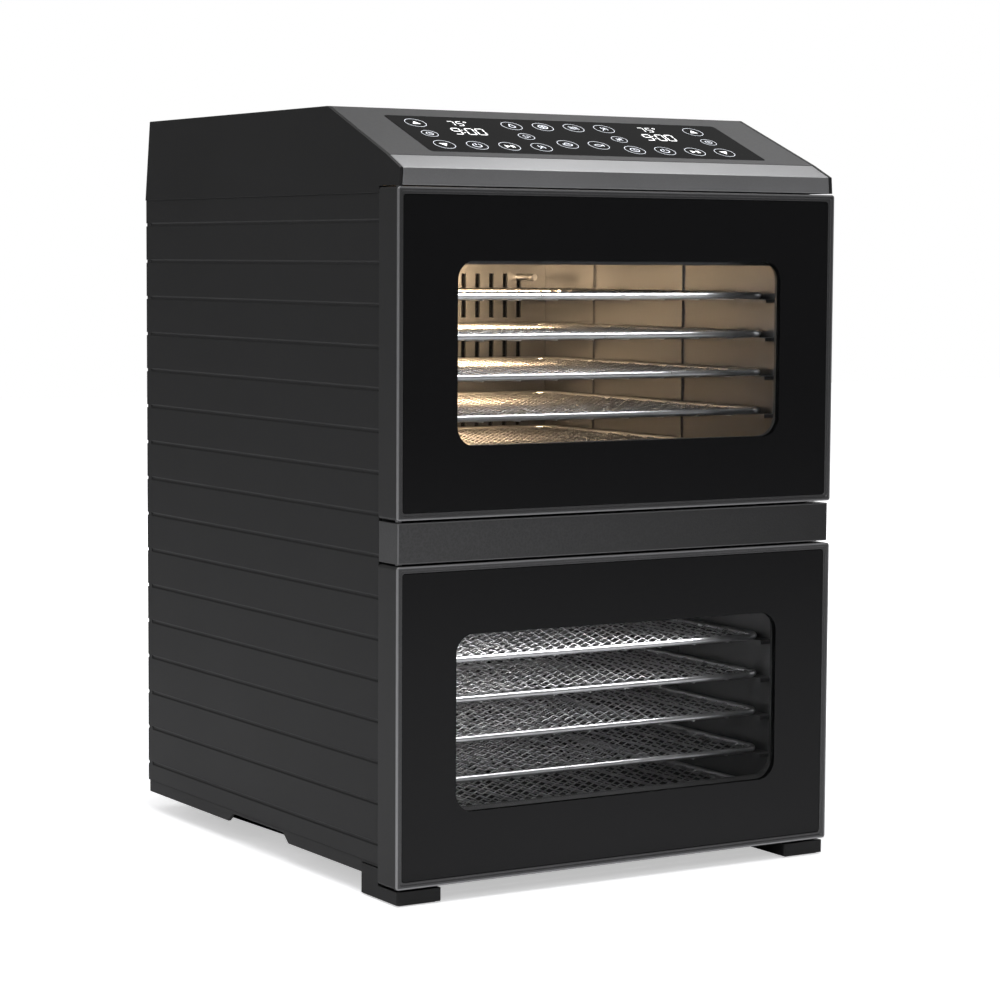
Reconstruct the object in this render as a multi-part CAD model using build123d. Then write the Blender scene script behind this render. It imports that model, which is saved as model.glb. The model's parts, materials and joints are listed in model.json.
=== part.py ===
from build123d import *
import os
from math import atan2, cos, hypot, sin, tan

os.makedirs("parts", exist_ok=True)

# Food dehydrator with two chambers, ten trays and two doors hinged at the left.
# Millimetres. +X is the right, -Y the front, +Z up; the floor is z = 0 and the
# origin is the middle of the footprint.

# ---- overall sizes ----
door_width = 345.0            # the widest part of the object
overall_height = 514.0
cabinet_depth = 381.0         # door front to rear panel
rear_cover_depth = 58.0

# ---- cabinet walls ----
side_inset = 1.3              # cabinet side behind the door side
panel_wall = 2.4
sheet = 2.0                   # chamber sheets
lip_wall = 2.5                # front lips and flanges
fit_gap = 0.2                 # between pieces that slot together
liner_inset = 21.2            # cabinet side to the chamber wall
plenum_depth = 43.5           # rear panel to the air guide
hood_rise = 58.0              # seam of the top cover to the top
hood_foot_out = 0.6           # top cover proud of the side panels
hood_draft = 3.8              # each side leans in over its height
hood_wall = 2.4

# ---- base and feet ----
base_seam = 23.5
base_inset = 1.0
base_plate = 2.5
skirt_bottom = 14.2
skirt_wall = 2.5
notch_front = 155.0           # hand grip in the skirt, from the door front
notch_length = 93.0
notch_height = 6.3
notch_slope = 8.0
foot_top = 9.7
foot_width = 33.0
foot_depth = 47.7
foot_setback = 1.3
foot_inset = 0.1              # foot side behind the cabinet side
foot_edge = 1.5               # fillet on the front corners
pad_height = 1.0
pad_inset = 3.0
rear_foot_size = 34.0
rear_foot_inset = 54.0        # cabinet side to the rear foot
rear_foot_setback = 18.0
rear_foot_corner = 6.0

# ---- doors ----
door_thickness = 24.7
door_height_step = 2.9        # the upper door is taller by this
door_corner = 2.0
gap_over_foot = 1.6
gap_under_band = 1.4
gap_over_band = 1.7
gap_under_trim = 0.9
band_height = 26.3
band_setback = 1.3
band_edge = 0.8
rim_outer = 2.6               # outer step of the door's front rim
rim_inner = 4.4               # inner step, the edge of the glass
rim_step = 0.7
glass_setback = 1.0
glass_thickness = 4.0
window_side = 44.6            # door side to the clear window
window_end = 46.0             # door top or bottom to the clear window
window_corner = 13.0
window_lap_end = 1.0          # frame opening past the clear window, up and down
window_lap_side = 13.0        # and sideways
door_wall = 3.0
door_web = 2.5
back_plate = 2.8
seal_width = 6.0
seal_height = 1.3
seal_offset = 2.0             # chamber edge to the seal
seal_corner = 8.0
seal_inner_corner = 4.0
seal_free = 0.3               # seal to the chamber's flanges
hinge_inset_x = 6.6
hinge_inset_y = 10.0
pin_radius = 2.2
pin_clearance = 0.06
pin_reach = 9.0               # into the door and into its mounting
pin_foot_reach = 7.0
pin_end_gap = 1.0             # the door's bore is deeper than its pin
boss_reach = 12.0
swing_clearance = 0.32
magnet_width = 5.5
magnet_length = 20.0
magnet_spacing = 120.0
magnet_inset = 1.2            # back plate's edge to a magnet
magnet_fit = 0.05
catch_margin = 0.3            # catch plate past its magnet
catch_thickness = 1.0

# ---- chambers and trays ----
trays_per_chamber = 5
chamber_end = 20.9            # chamber floor or ceiling to the nearest rod
ceiling_under_door = 47.2     # lower door's top to its chamber's ceiling
floor_over_band = 15.4
rod_diameter = 4.4
tray_side_gap = 3.8
tray_front_gap = 9.6          # chamber front lip to the front rod's centre
tray_rear_gap = 7.8           # air guide to the rear rod
tray_corner = 14.0
mesh_thickness = 0.9
mesh_bar = 3.0
mesh_bays = 8
ledge_depth = 11.5
ledge_thickness = 2.4
ledge_gap = 0.3               # tray rod over its ledge
ledge_end_gap = 3.0
rib_width = 6.0
rib_proud = 1.4
rib_pitch = 118.0
slot_width = 4.0
slot_pitch = 12.5
slot_length = 34.0
slot_rows = 3
sensor_radius = 2.5
sensor_length = 24.0
sensor_inset = 14.0           # rail ledges to the sensor

# ---- side grooves ----
groove_pitch = 26.75
groove_first = 13.4           # base seam to the lowest groove
groove_width = 2.8
groove_depth = 0.7
groove_rear_end = 7.5         # plain strip at the rear edge
groove_notch = 2.2

# ---- control head ----
trim_bottom_drop = 53.5       # top to the underside of the front trim
trim_height = 11.1
trim_setback = 1.0
bevel_run = 18.5
bevel_rise = 8.7
ridge_run = 83.5              # bevel to the ridge, along Y
trim_wall = 2.5
fascia_wall = 3.0
trim_return = 23.0
trim_thickening = 0.6         # extra under the bevel's rear edge
panel_glass_side = 34.0       # fascia side to the control glass
panel_glass_low = 7.5         # up the slope from the bevel
panel_glass_length = 68.5
panel_glass_thickness = 1.5
panel_glass_corner = 3.0
panel_glass_fit = 0.15
panel_ledge = 6.0
board_drop = 9.0              # fascia face to the control board
board_thickness = 1.6
board_margin = 4.0
touch_columns = 10
touch_pairs = (4, 5)          # columns with a top and a bottom point
touch_triples = (0, 3, 6, 9)
touch_margin = 17.4           # glass side to the first column
touch_pitch = 24.8
touch_row_pitch = 20.5
spring_radius = 3.0
spring_wall = 0.8
display_width = 44.0
display_length = 24.0
display_gap = 0.4             # under the control glass
display_columns = (1.35, 7.5) # middles of the displays, in touch columns
display_row = 0.55            # glass middle to a display, in touch rows
pillar_radius = 3.5
pillar_gap = 1.0              # control glass to a pillar
relay_board_width = 130.0
relay_board_depth = 90.0
relay_board_setback = 40.0    # ridge to the relay board
relay_leg_length = 6.0
relay_leg_radius = 3.0
relay_leg_inset = 5.0
relay_count = 3
relay_pitch = 24.0
relay_first = 14.0
relay_width = 19.0
relay_depth = 15.0
relay_height = 16.0
relay_setback = 12.0
transformer_left = 90.0
transformer_front = 40.0
transformer_width = 30.0
transformer_depth = 36.0
transformer_height = 24.0

# ---- fans, heaters and rear ----
shaft_radius = 3.0
shaft_clearance = 0.08
shaft_tail = 12.0             # past the back of the motor
hub_radius = 13.0
hub_tail = 2.0
hub_gap = 2.0                 # in its hole through the rear panel
fan_heater_gap = 10.0         # fan wheel to the middle of the heater tube
fan_blade_width = 22.0
fan_blades = 10
fan_sheet = 1.2
blade_root = 1.0              # blade end sunk in the hub
fan_front_gap = 6.0           # air guide to the fan wheel
heater_end_gap = 9.3          # chamber floor or ceiling to the heater tube's middle
heater_tube = 3.2
heater_arc = 336.0
cover_width = 230.0
cover_margin = 12.6           # rear cover shorter than its chamber by this
cover_corner = 14.0
cover_wall = 2.4
cover_edge = 6.0
ear_radius = 7.0
ear_out = 6.0                 # cover side to an ear's middle
ear_end = 16.0                # cover end to an ear's middle
ear_root = 1.0
vent_pitch = 9.0
vent_width = 4.0
vent_end = 16.0               # cover end to its vents, with half the row gap
vent_row_gap = 8.0
vents_per_row = 18
motor_width = 64.0
motor_height = 54.0
motor_depth = 22.0
motor_standoff = 12.0
motor_can_radius = 20.0
motor_can_front = 5.0
motor_can_back = 8.0
motor_leg_radius = 3.5
motor_leg_inset = 5.0
screw_radius = 1.9
screw_clearance = 0.2
screw_head = 3.6
screw_head_height = 2.0
screws_per_side = 4
screw_edge = 7.0              # rear panel's side to its screws
screw_end = 10.0
gland_inset = 27.0            # cabinet side to the cord gland
gland_height = 62.0
gland_radius = 8.0
gland_bore = 3.9
gland_flange = 11.5
gland_flange_height = 3.0
gland_tail = 4.0              # inside the rear panel

# ---- places worked out from the sizes ----
overall_depth = cabinet_depth + rear_cover_depth
door_front = -overall_depth / 2
rear_face = door_front + cabinet_depth
half_door = door_width / 2
half_body = half_door - side_inset
half_inside = half_body - panel_wall
liner_face = half_body - liner_inset
hinge_x = -half_door + hinge_inset_x
hinge_y = door_front + hinge_inset_y
swing_radius = hypot(hinge_inset_x, door_thickness - hinge_inset_y)
front_plane = hinge_y + swing_radius + swing_clearance
lip_back = front_plane + lip_wall
guide_front = rear_face - lip_wall - plenum_depth
inside_rear = rear_face - lip_wall

door_bottom = foot_top + gap_over_foot
trim_bottom = overall_height - trim_bottom_drop
upper_door_top = trim_bottom - gap_under_trim
both_doors = upper_door_top - door_bottom - band_height - gap_under_band - gap_over_band
lower_door_top = door_bottom + (both_doors - door_height_step) / 2
band_bottom = lower_door_top + gap_under_band
band_top = band_bottom + band_height
band_middle = (band_bottom + band_top) / 2
upper_door_bottom = band_top + gap_over_band
hood_seam = overall_height - hood_rise

lower_floor = base_seam
chamber_height = lower_door_top - ceiling_under_door - lower_floor
tray_pitch = (chamber_height - 2 * chamber_end) / (trays_per_chamber - 1)
heater_ring = chamber_height / 2 - heater_end_gap
fan_radius = heater_ring - fan_heater_gap
cover_height = chamber_height - cover_margin
vent_length = cover_height / 2 - vent_end
upper_floor = band_top + floor_over_band
half_tray = liner_face - tray_side_gap - rod_diameter / 2
tray_front = lip_back + tray_front_gap
tray_rear = guide_front - tray_rear_gap - rod_diameter / 2

bevel_y = door_front + trim_setback + bevel_run
bevel_z = trim_bottom + trim_height + bevel_rise
ridge_y = bevel_y + ridge_run
slope_angle = atan2(overall_height - bevel_z, ridge_run)
slope_length = hypot(overall_height - bevel_z, ridge_run)
slope = Plane(
    origin=(0, bevel_y, bevel_z),
    x_dir=(1, 0, 0),
    z_dir=(0, -sin(slope_angle), cos(slope_angle)),
)

ZONES = {
    "lower": dict(floor=lower_floor, door=(door_bottom, lower_door_top)),
    "upper": dict(floor=upper_floor, door=(upper_door_bottom, upper_door_top)),
}


# ---- shape helpers ----
def block(x0, x1, y0, y1, z0, z1):
    """A box from its lowest to its highest corner."""
    middle = Pos((x0 + x1) / 2, (y0 + y1) / 2, (z0 + z1) / 2)
    return middle * Box(x1 - x0, y1 - y0, z1 - z0)


def along_x(points, x0, x1):
    """An outline in (y, z), extruded from x0 to x1."""
    wire = Wire.make_polygon([(x0, y, z) for y, z in points], close=True)
    return extrude(Face(wire), amount=x1 - x0, dir=(1, 0, 0))


def along_y(points, y0, y1):
    """An outline in (x, z), extruded from y0 to y1."""
    wire = Wire.make_polygon([(x, y0, z) for x, z in points], close=True)
    return extrude(Face(wire), amount=y1 - y0, dir=(0, 1, 0))


def rounded_y(half_width, z0, z1, corner, y0, y1):
    """A rounded rectangle about x = 0, extruded from y0 to y1."""
    outline = Plane.XZ * RectangleRounded(2 * half_width, z1 - z0, corner)
    return Pos(0, y1, (z0 + z1) / 2) * extrude(outline, amount=y1 - y0)


def rod_y(x, z, radius, y0, y1):
    """A round bar along Y."""
    return Pos(x, (y0 + y1) / 2, z) * Rot(90, 0, 0) * Cylinder(radius, y1 - y0)


def rod_z(x, y, radius, z0, z1):
    """A round bar along Z."""
    return Pos(x, y, (z0 + z1) / 2) * Cylinder(radius, z1 - z0)


def mirrored(shape):
    """The same shape on the other side of x = 0."""
    return mirror(shape, about=Plane.YZ)


def save(name, *solids):
    """Writes one node; several solids stay separate pieces."""
    shape = solids[0] if len(solids) == 1 else Compound(children=list(solids))
    export_step(shape, f"parts/{name}.step")


# ---- base, feet and side panels ----
def base_tray():
    half = half_body - base_inset
    plate_bottom = base_seam - base_plate
    foot_back = door_front + foot_setback + foot_depth
    tray = block(-half, half, front_plane, rear_face, plate_bottom, base_seam)
    wall = block(half - skirt_wall, half, foot_back + fit_gap, rear_face, skirt_bottom, plate_bottom)
    grip = door_front + notch_front
    roof = skirt_bottom + notch_height
    notch = along_x(
        [
            (grip, skirt_bottom),
            (grip + notch_slope, roof),
            (grip + notch_length - notch_slope, roof),
            (grip + notch_length, skirt_bottom),
        ],
        half - skirt_wall,
        half,
    )
    wall -= notch
    tray += wall + mirrored(wall)
    tray += block(-half, half, rear_face - skirt_wall, rear_face, skirt_bottom, plate_bottom)
    between_feet = half_body - foot_width - fit_gap
    tray += block(-between_feet, between_feet, front_plane, lip_back, skirt_bottom, plate_bottom)
    return tray


def front_foot():
    """The right-hand L-shaped foot."""
    inner = half_body - foot_width
    outer = half_body - foot_inset
    front = door_front + foot_setback
    foot = block(inner, outer, front, front + foot_depth, pad_height, foot_top)
    foot += block(inner, outer, front_plane, front + foot_depth, foot_top, base_seam - base_plate)
    return fillet(foot.edges().filter_by(Axis.Z).group_by(Axis.Y)[0], foot_edge)


def front_feet():
    right = front_foot()
    left = mirrored(right) - rod_z(hinge_x, hinge_y, pin_radius, foot_top - pin_foot_reach, foot_top)
    return [left, right]


def rear_feet():
    outer = half_body - rear_foot_inset
    back = rear_face - rear_foot_setback
    top = base_seam - base_plate
    foot = block(outer - rear_foot_size, outer, back - rear_foot_size, back, pad_height, top)
    foot = fillet(foot.edges().filter_by(Axis.Z), rear_foot_corner)
    return [mirrored(foot), foot]


def foot_pads():
    front = door_front + foot_setback
    inner = half_body - foot_width
    pad_front = block(
        inner + pad_inset,
        half_body - pad_inset,
        front + pad_inset,
        front + foot_depth - pad_inset,
        0,
        pad_height,
    )
    outer = half_body - rear_foot_inset
    back = rear_face - rear_foot_setback
    middle = (outer - rear_foot_size / 2, back - rear_foot_size / 2)
    pad_rear = rod_z(*middle, rear_foot_size / 2 - pad_inset, 0, pad_height)
    return [pad_front, mirrored(pad_front), pad_rear, mirrored(pad_rear)]


def side_panel():
    """The right-hand panel with its horizontal grooves."""
    panel = block(half_inside, half_body, front_plane, rear_face, base_seam, hood_seam)
    room = hood_seam - base_seam - groove_first - groove_width
    bottom = half_body - groove_depth
    rear = rear_face - groove_rear_end
    for number in range(int(room // groove_pitch) + 1):
        z = base_seam + groove_first + number * groove_pitch
        outline = [
            (half_body, z - groove_width / 2),
            (half_body, z + groove_width / 2),
            (bottom, z + groove_width / 4),
            (bottom, z - groove_width / 4),
        ]
        panel -= along_y(outline, front_plane, rear)
        notch_z = (z - groove_notch / 2, z + groove_notch / 2)
        panel -= block(bottom, half_body, rear_face - groove_notch, rear_face, *notch_z)
    return panel


# ---- chambers ----
def rail_liner(floor):
    """The right-hand chamber wall: sheet, flanges, ledges and ribs."""
    ceiling = floor + chamber_height
    outer = half_inside - fit_gap
    liner = block(liner_face, liner_face + sheet, front_plane, guide_front + sheet, floor, ceiling)
    liner += block(liner_face + sheet, outer, front_plane, lip_back, floor, ceiling)
    liner += block(liner_face + sheet, outer, guide_front, guide_front + sheet, floor, ceiling)
    inner = liner_face - ledge_depth
    ledge_front = lip_back + ledge_end_gap
    ledge_rear = guide_front - ledge_end_gap
    for number in range(trays_per_chamber):
        top = floor + chamber_end + number * tray_pitch - rod_diameter / 2 - ledge_gap
        ledge = block(inner, liner_face, ledge_front, ledge_rear, top - ledge_thickness, top)
        liner += ledge
    rib_y = lip_back
    while rib_y + rib_width < guide_front:
        liner += block(liner_face - rib_proud, liner_face, rib_y, rib_y + rib_width, floor, ceiling)
        rib_y += rib_pitch
    return liner


def chamber_ceiling(floor, lip_top):
    outer = half_inside - fit_gap
    bottom = floor + chamber_height
    ceiling = block(-outer, outer, front_plane, inside_rear, bottom, bottom + sheet)
    ceiling += block(-outer, outer, front_plane, lip_back, bottom + sheet, lip_top)
    return ceiling


def chamber_floor(floor, lip_bottom):
    outer = half_inside - fit_gap
    plate = block(-outer, outer, front_plane, inside_rear, floor - sheet, floor)
    plate += block(-outer, outer, front_plane, lip_back, lip_bottom, floor - sheet)
    return plate


def air_guide(floor):
    """The slotted rear wall of a chamber."""
    half = liner_face - fit_gap
    ceiling = floor + chamber_height
    guide = block(-half, half, guide_front, guide_front + sheet, floor + fit_gap, ceiling - fit_gap)
    columns = int((2 * half - 2 * slot_pitch) // slot_pitch)
    row_pitch = chamber_height / slot_rows
    slots = Plane.XZ * GridLocations(slot_pitch, row_pitch, columns, slot_rows)
    middle = Pos(0, guide_front + sheet / 2, floor + chamber_height / 2)
    slot = Box(slot_width, slot_length, 2 * sheet)
    guide -= middle * slots * slot
    return guide


def temperature_sensor(floor):
    z = floor + chamber_height - chamber_end / 2
    x = liner_face - ledge_depth - sensor_inset
    return rod_y(x, z, sensor_radius, guide_front - sensor_length, guide_front)


def tray(floor, number):
    """A rod rim with a mesh panel welded in."""
    z = floor + chamber_end + number * tray_pitch
    middle = Pos(0, (tray_front + tray_rear) / 2, z)
    width = 2 * half_tray
    depth = tray_rear - tray_front
    outline = RectangleRounded(width, depth, tray_corner)
    path = outline.wire()
    section = Plane(origin=path @ 0, z_dir=path % 0) * Circle(rod_diameter / 2)
    rim = sweep(section, path=path)
    bay_x = (width - rod_diameter) / mesh_bays
    bay_y = (depth - rod_diameter) / mesh_bays
    openings = GridLocations(bay_x, bay_y, mesh_bays, mesh_bays)
    panel = outline - openings * Rectangle(bay_x - mesh_bar, bay_y - mesh_bar)
    mesh = Pos(0, 0, -mesh_thickness / 2) * extrude(panel, amount=mesh_thickness)
    return middle * (rim + mesh)


# ---- doors ----
def window_outline(door, grow, y0, y1):
    """The frame's rounded opening, larger all round by grow."""
    half = half_door - window_side + window_lap_side + grow
    lap = window_lap_end + grow
    z0 = door[0] + window_end - lap
    z1 = door[1] - window_end + lap
    return rounded_y(half, z0, z1, window_corner + lap, y0, y1)


def door_frame(door):
    bottom, top = door
    back = door_front + door_thickness
    glass_back = door_front + glass_setback + glass_thickness
    web_back = glass_back + door_web
    plate_front = back - back_plate
    frame = rounded_y(half_door, bottom, top, door_corner, door_front, back)
    frame -= rounded_y(
        half_door - rim_outer,
        bottom + rim_outer,
        top - rim_outer,
        door_corner,
        door_front,
        door_front + rim_step,
    )
    frame -= rounded_y(
        half_door - rim_inner,
        bottom + rim_inner,
        top - rim_inner,
        door_corner,
        door_front,
        glass_back,
    )
    hollow = block(
        -half_door + door_wall,
        half_door - door_wall,
        web_back,
        back,
        bottom + door_wall,
        top - door_wall,
    )
    hollow -= window_outline(door, door_wall, web_back, plate_front)
    boss_x = hinge_x + boss_reach / 2
    for z0, z1 in ((bottom, bottom + boss_reach), (top - boss_reach, top)):
        hollow -= block(-half_door, boss_x, web_back, hinge_y + boss_reach / 2, z0, z1)
    frame -= hollow
    frame -= window_outline(door, 0, door_front, back)
    bore = pin_radius + pin_clearance
    frame -= rod_z(hinge_x, hinge_y, bore, bottom, bottom + pin_reach + pin_end_gap)
    frame -= rod_z(hinge_x, hinge_y, bore, top - pin_reach - pin_end_gap, top)
    return frame


def door_glass(door):
    edge = rim_inner + fit_gap
    front = door_front + glass_setback
    z0 = door[0] + edge
    z1 = door[1] - edge
    return rounded_y(half_door - edge, z0, z1, door_corner, front, front + glass_thickness)


def magnet_places(door):
    """Middles of the two magnets, up the free side of a door."""
    x = half_door - door_wall - fit_gap - magnet_inset - magnet_width / 2
    middle = (door[0] + door[1]) / 2
    return [(x, middle - magnet_spacing / 2), (x, middle + magnet_spacing / 2)]


def magnet_block(x, z, y0, y1, grow=0.0):
    half_width = magnet_width / 2 + grow
    half_length = magnet_length / 2 + grow
    return block(x - half_width, x + half_width, y0, y1, z - half_length, z + half_length)


def door_back(door):
    back = door_front + door_thickness
    edge = door_wall + fit_gap
    half = half_door - edge
    plate = block(-half, half, back - back_plate, back, door[0] + edge, door[1] - edge)
    plate -= window_outline(door, 0, back - back_plate, back)
    for x, z in magnet_places(door):
        plate -= magnet_block(x, z, back - back_plate, back, magnet_fit)
    return plate


def door_magnets(door):
    back = door_front + door_thickness
    return [magnet_block(x, z, back - back_plate, back) for x, z in magnet_places(door)]


def door_seal(floor):
    """A flat ring that meets the chamber's front flanges."""
    back = door_front + door_thickness
    tip = min(back + seal_height, front_plane - seal_free)
    inner = liner_face + seal_offset
    outer = inner + seal_width
    ceiling = floor + chamber_height
    ends = (floor - seal_offset, ceiling + seal_offset)
    ring = rounded_y(outer, ends[0] - seal_width, ends[1] + seal_width, seal_corner, back, tip)
    ring -= rounded_y(inner, ends[0], ends[1], seal_inner_corner, back, tip)
    return ring


def catch_plates():
    plates = []
    for zone in ZONES.values():
        for x, z in magnet_places(zone["door"]):
            plates.append(magnet_block(x, z, front_plane - catch_thickness, front_plane, catch_margin))
    return plates


def hinge_pins():
    lowest = rod_z(hinge_x, hinge_y, pin_radius, foot_top - pin_foot_reach, door_bottom + pin_reach)
    middle = rod_z(
        hinge_x,
        hinge_y,
        pin_radius,
        lower_door_top - pin_reach,
        upper_door_bottom + pin_reach,
    )
    highest = rod_z(hinge_x, hinge_y, pin_radius, upper_door_top - pin_reach, trim_bottom + pin_reach)
    return [lowest, middle, highest]


def centre_band():
    front = door_front + band_setback
    inner_front = front + lip_wall
    band = block(-half_body, half_body, front, front_plane, band_bottom, band_top)
    band = fillet(band.edges().filter_by(Axis.X).group_by(Axis.Y)[0], band_edge)
    cavity = block(
        -half_body + lip_wall,
        half_body - lip_wall,
        inner_front,
        front_plane,
        band_bottom + lip_wall,
        band_top - lip_wall,
    )
    cavity -= block(
        -half_body,
        hinge_x + boss_reach / 2,
        inner_front,
        hinge_y + boss_reach / 2,
        band_bottom,
        band_top,
    )
    band -= cavity
    band -= rod_z(hinge_x, hinge_y, pin_radius, band_bottom, band_top)
    return band


# ---- top cover and control head ----
def hood_outline(wall):
    """Side view of the control head and top cover, drawn in by wall."""
    front = door_front + trim_setback + wall
    lean = wall * tan(slope_angle / 2)
    bevel_angle = atan2(bevel_rise, bevel_run)
    return [
        (rear_face - wall, hood_seam),
        (rear_face - wall, overall_height - wall),
        (ridge_y + lean, overall_height - wall),
        (bevel_y + wall * sin(slope_angle), bevel_z - wall * cos(slope_angle)),
        (front, trim_bottom + trim_height - wall * tan(bevel_angle / 2)),
        (front, trim_bottom),
        (front_plane, trim_bottom),
        (front_plane, hood_seam),
    ]


def hood_taper(wall):
    """Front view of the top cover's drafted sides, drawn in by wall."""
    low = half_body + hood_foot_out - wall
    high = low - hood_draft
    return [
        (-low, hood_seam),
        (low, hood_seam),
        (high, overall_height),
        (-high, overall_height),
    ]


def hood_space(outline_wall, side_wall):
    wide = half_door
    body = along_x(hood_outline(outline_wall), -wide, wide)
    return body & along_y(hood_taper(side_wall), door_front, rear_face)


def top_cover():
    cover = hood_space(0, 0)
    cover -= hood_space(hood_wall, hood_wall)
    mouth = along_x(
        [
            (door_front, hood_seam),
            (front_plane, hood_seam),
            (ridge_y, hood_seam),
            (ridge_y, overall_height),
            (door_front, overall_height),
        ],
        -half_door,
        half_door,
    )
    cover -= mouth & along_y(hood_taper(hood_wall), door_front, rear_face)
    return cover


def control_fascia():
    """The sloping plate with its glass pocket and board pillars."""
    taper = along_y(hood_taper(hood_wall + fit_gap), door_front, rear_face)
    middle = Pos(0, slope_length / 2, -fascia_wall / 2)
    plate = slope * middle * Box(2 * half_door, slope_length, fascia_wall)
    plate &= along_x(
        [
            (bevel_y, hood_seam),
            (ridge_y - fit_gap, hood_seam),
            (ridge_y - fit_gap, overall_height),
            (bevel_y, overall_height),
        ],
        -half_door,
        half_door,
    )
    plate &= taper
    plate -= slope * glass_slab(panel_glass_fit, panel_glass_thickness)
    plate -= slope * glass_slab(-panel_ledge, 2 * fascia_wall)
    pillar_length = board_drop - fascia_wall
    for x, s in board_corners():
        pillar = slope * Pos(x, s, -fascia_wall - pillar_length / 2) * Cylinder(pillar_radius, pillar_length)
        plate += pillar
    return plate


def glass_half():
    return half_body - panel_glass_side - hood_draft


def glass_middle():
    return panel_glass_low + panel_glass_length / 2


def glass_slab(grow, depth):
    """The control glass's outline in the slope's own frame."""
    outline = RectangleRounded(
        2 * glass_half() + 2 * grow,
        panel_glass_length + 2 * grow,
        panel_glass_corner,
    )
    return Pos(0, glass_middle(), -depth) * extrude(outline, amount=depth)


def board_corners():
    across = glass_half() + pillar_radius + pillar_gap
    along = panel_glass_length / 2 - pillar_radius - board_margin
    return [(sx * across, glass_middle() + sy * along) for sx in (-1, 1) for sy in (-1, 1)]


def control_glass():
    return slope * glass_slab(0, panel_glass_thickness)


def control_board():
    width = 2 * (glass_half() + 2 * pillar_radius + pillar_gap)
    length = panel_glass_length - board_margin
    middle = Pos(0, glass_middle(), -board_drop - board_thickness / 2)
    return slope * middle * Box(width, length, board_thickness)


def column_x(column):
    """Where a column of touch points stands, across the glass."""
    return touch_margin - glass_half() + column * touch_pitch


def touch_places():
    """Middles of the touch points, row by row in each column."""
    places = []
    for column in range(touch_columns):
        rows = (-1,)
        if column in touch_pairs:
            rows = (-1, 1)
        if column in touch_triples:
            rows = (-1, 0, 1)
        places += [(column_x(column), glass_middle() + row * touch_row_pitch) for row in rows]
    return places


def touch_springs():
    length = board_drop - panel_glass_thickness
    middle = -panel_glass_thickness - length / 2
    springs = []
    for x, s in touch_places():
        spring = Cylinder(spring_radius, length) - Cylinder(spring_radius - spring_wall, length)
        springs.append(slope * Pos(x, s, middle) * spring)
    return springs


def display_modules():
    depth = board_drop - panel_glass_thickness - display_gap
    middle = -board_drop + depth / 2
    modules = []
    for column in display_columns:
        place = Pos(column_x(column), glass_middle() + touch_row_pitch * display_row, middle)
        modules.append(slope * place * Box(display_width, display_length, depth))
    return modules


def relay_board():
    """A board on four legs with its relays and a transformer."""
    foot = upper_floor + chamber_height + sheet
    bottom = foot + relay_leg_length
    top = bottom + board_thickness
    x0 = -relay_board_width / 2
    y0 = ridge_y + relay_board_setback
    board = block(x0, -x0, y0, y0 + relay_board_depth, bottom, top)
    for leg_x in (x0 + relay_leg_inset, -x0 - relay_leg_inset):
        for leg_y in (y0 + relay_leg_inset, y0 + relay_board_depth - relay_leg_inset):
            board += rod_z(leg_x, leg_y, relay_leg_radius, foot, bottom)
    front = y0 + relay_setback
    for number in range(relay_count):
        left = x0 + relay_first + number * relay_pitch
        board += block(left, left + relay_width, front, front + relay_depth, top, top + relay_height)
    left = x0 + transformer_left
    front = y0 + transformer_front
    right = left + transformer_width
    back = front + transformer_depth
    board += block(left, right, front, back, top, top + transformer_height)
    return board


def front_trim():
    """Bright bevel, lip and its return, with the top hinge boss."""
    front = door_front + trim_setback
    lip_top = trim_bottom + trim_height
    inner_front = front + trim_wall
    outline = [
        (front, trim_bottom),
        (front, lip_top),
        (bevel_y - fit_gap, bevel_z - fit_gap * bevel_rise / bevel_run),
        (bevel_y - fit_gap, bevel_z - trim_wall - trim_thickening),
        (inner_front, lip_top - trim_wall / 2),
        (inner_front, trim_bottom + trim_wall),
        (front + trim_return, trim_bottom + trim_wall),
        (front + trim_return, trim_bottom),
    ]
    half = half_body + hood_foot_out - hood_wall
    trim = along_x(outline, -half, half)
    boss_x = hinge_x + boss_reach / 2
    boss_y = hinge_y + boss_reach / 2
    boss = block(-half, boss_x, inner_front, boss_y, trim_bottom + trim_wall, lip_top - trim_wall / 2)
    trim += boss
    trim &= along_y(hood_taper(hood_wall + fit_gap), door_front, rear_face)
    return trim - rod_z(hinge_x, hinge_y, pin_radius, trim_bottom, trim_bottom + pin_reach)


# ---- rear, fans and heaters ----
def zone_middle(floor):
    return floor + chamber_height / 2


def panel_screw_places():
    x = half_inside - screw_edge
    low = base_seam + screw_end
    step = (hood_seam - screw_end - low) / (screws_per_side - 1)
    return [(side * x, low + number * step) for side in (-1, 1) for number in range(screws_per_side)]


def ear_places(z):
    """Middles of the four fixing ears of a rear cover."""
    x = cover_width / 2 + ear_out
    rise = cover_height / 2 - ear_end
    return [(side * x, z + end * rise) for side in (-1, 1) for end in (-1, 1)]


def cover_screw_places():
    middles = [zone_middle(zone["floor"]) for zone in ZONES.values()]
    return [place for z in middles for place in ear_places(z)]


def rear_panel():
    outer = half_inside - fit_gap
    panel = block(-outer, outer, inside_rear, rear_face, base_seam, hood_seam)
    for zone in ZONES.values():
        z = zone_middle(zone["floor"])
        panel -= rod_y(0, z, hub_radius + hub_gap, inside_rear, rear_face)
    for x, z in panel_screw_places() + cover_screw_places():
        panel -= rod_y(x, z, screw_radius + screw_clearance, inside_rear, rear_face)
    gland_x = half_body - gland_inset
    panel -= rod_y(gland_x, gland_height, gland_radius, inside_rear, rear_face)
    return panel


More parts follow.
